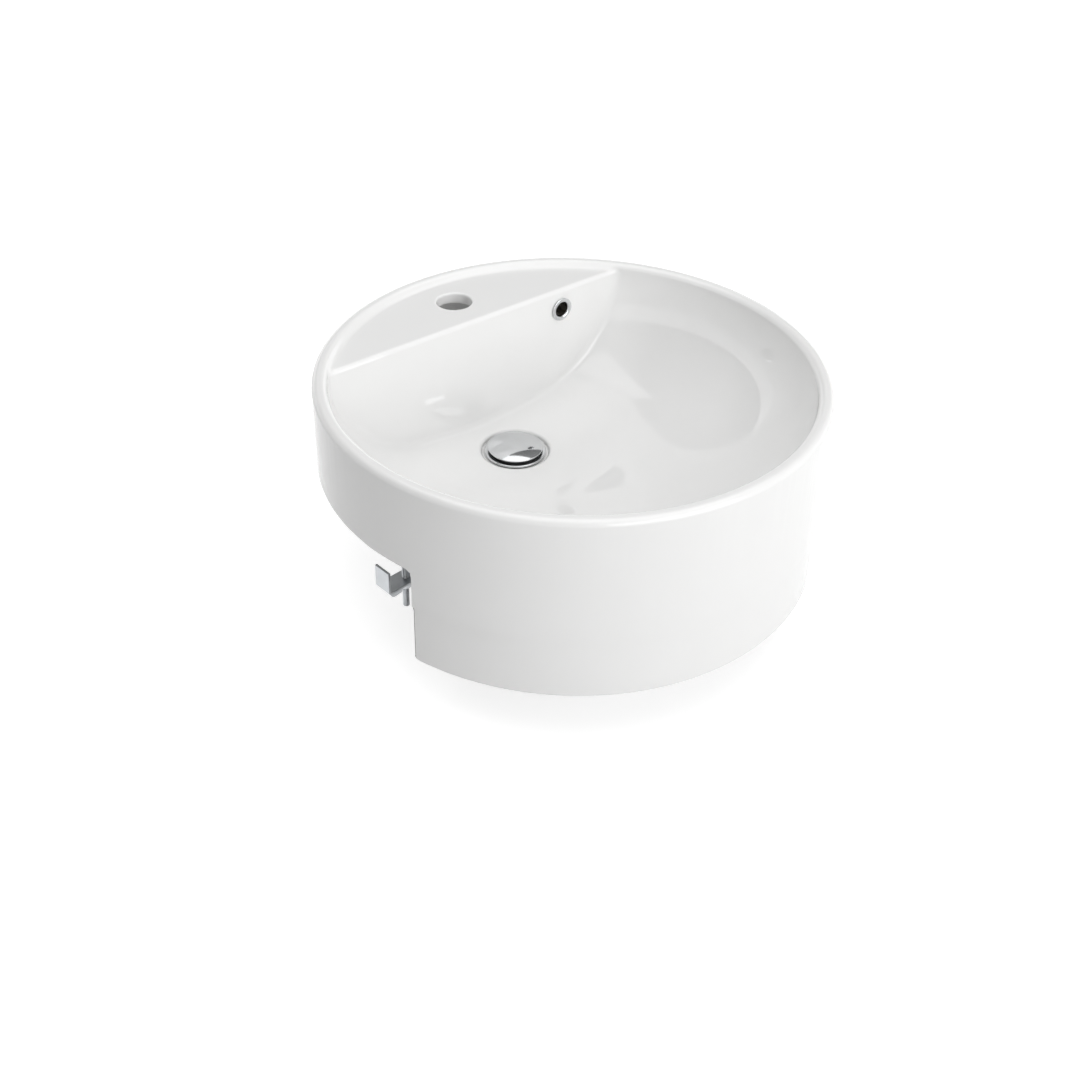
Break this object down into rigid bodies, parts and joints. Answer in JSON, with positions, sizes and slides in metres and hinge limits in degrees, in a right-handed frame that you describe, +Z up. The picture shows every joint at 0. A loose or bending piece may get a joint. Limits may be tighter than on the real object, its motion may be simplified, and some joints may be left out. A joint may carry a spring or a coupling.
{
  "type": "semi recessed basin",
  "caption": "Round semi recessed ceramic basin with a tap ledge, an overflow ring, a click waste and counter clamps.",
  "frame": {"origin": "centre of the basin's circle, on the plane of the counter's top", "axes": "+Z up, +Y to the wall, +X to the right of someone who faces the wall"},
  "size_m": [0.46, 0.46, 0.2255],
  "materials": {
    "glazed_ceramic": "white glazed vitreous china, high gloss",
    "bright_chrome": "polished chrome plate",
    "black_rubber": "moulded rubber",
    "white_plastic": "moulded",
    "amber_plastic": "moulded",
    "raw_brass": "turned brass",
    "spring_steel": "drawn wire",
    "zinc_steel": "zinc plated steel"
  },
  "bodies": {
    "basin": {"basin_body": "glazed_ceramic", "overflow_ring": "bright_chrome", "overflow_seal": "black_rubber", "waste_body": "bright_chrome", "waste_flange_seal": "black_rubber", "waste_under_seal": "black_rubber", "waste_slip_washer": "white_plastic", "waste_back_nut": "raw_brass", "click_spring": "spring_steel", "click_barrel": "white_plastic", "click_collar": "white_plastic", "click_stud": "raw_brass", "clamp_anchors": "white_plastic", "clamp_studs": "zinc_steel", "clamp_washers": "zinc_steel", "clamp_wing_nuts": "zinc_steel"},
    "plug": {"plug_cap": "bright_chrome", "plug_seal": "black_rubber", "click_plunger": "white_plastic"},
    "ratchet": {"click_rotor": "amber_plastic"},
    "claw_right_front_body": {"claw_right_front": "zinc_steel"},
    "claw_right_rear_body": {"claw_right_rear": "zinc_steel"},
    "claw_left_rear_body": {"claw_left_rear": "zinc_steel"},
    "claw_left_front_body": {"claw_left_front": "zinc_steel"}
  },
  "joints": [
    {"name": "plug_slide", "type": "slide", "parent": "basin", "child": "plug", "axis": [0, 0, 1], "range_m": [0, 0.009], "deforming": ["click_spring"]},
    {"name": "ratchet_turn", "type": "hinge", "parent": "plug", "child": "ratchet", "pos_m": [0, 0.078, -0.0813], "axis": [0, 0, 1], "range_deg": [0, 45]},
    {"name": "claw_right_front_swing", "type": "hinge", "parent": "basin", "child": "claw_right_front_body", "pos_m": [0.19525, -0.01708, -0.05], "axis": [0, 0, 1], "range_deg": [0, 90]},
    {"name": "claw_right_rear_swing", "type": "hinge", "parent": "basin", "child": "claw_right_rear_body", "pos_m": [0.16055, 0.11242, -0.05], "axis": [0, 0, 1], "range_deg": [0, 90]},
    {"name": "claw_left_rear_swing", "type": "hinge", "parent": "basin", "child": "claw_left_rear_body", "pos_m": [-0.16055, 0.11242, -0.05], "axis": [0, 0, -1], "range_deg": [0, 90]},
    {"name": "claw_left_front_swing", "type": "hinge", "parent": "basin", "child": "claw_left_front_body", "pos_m": [-0.19525, -0.01708, -0.05], "axis": [0, 0, -1], "range_deg": [0, 90]}
  ],
  "couplings": [
    {"joint": "ratchet_turn", "follows": "plug_slide", "rad_per_m": 87.266}
  ]
}
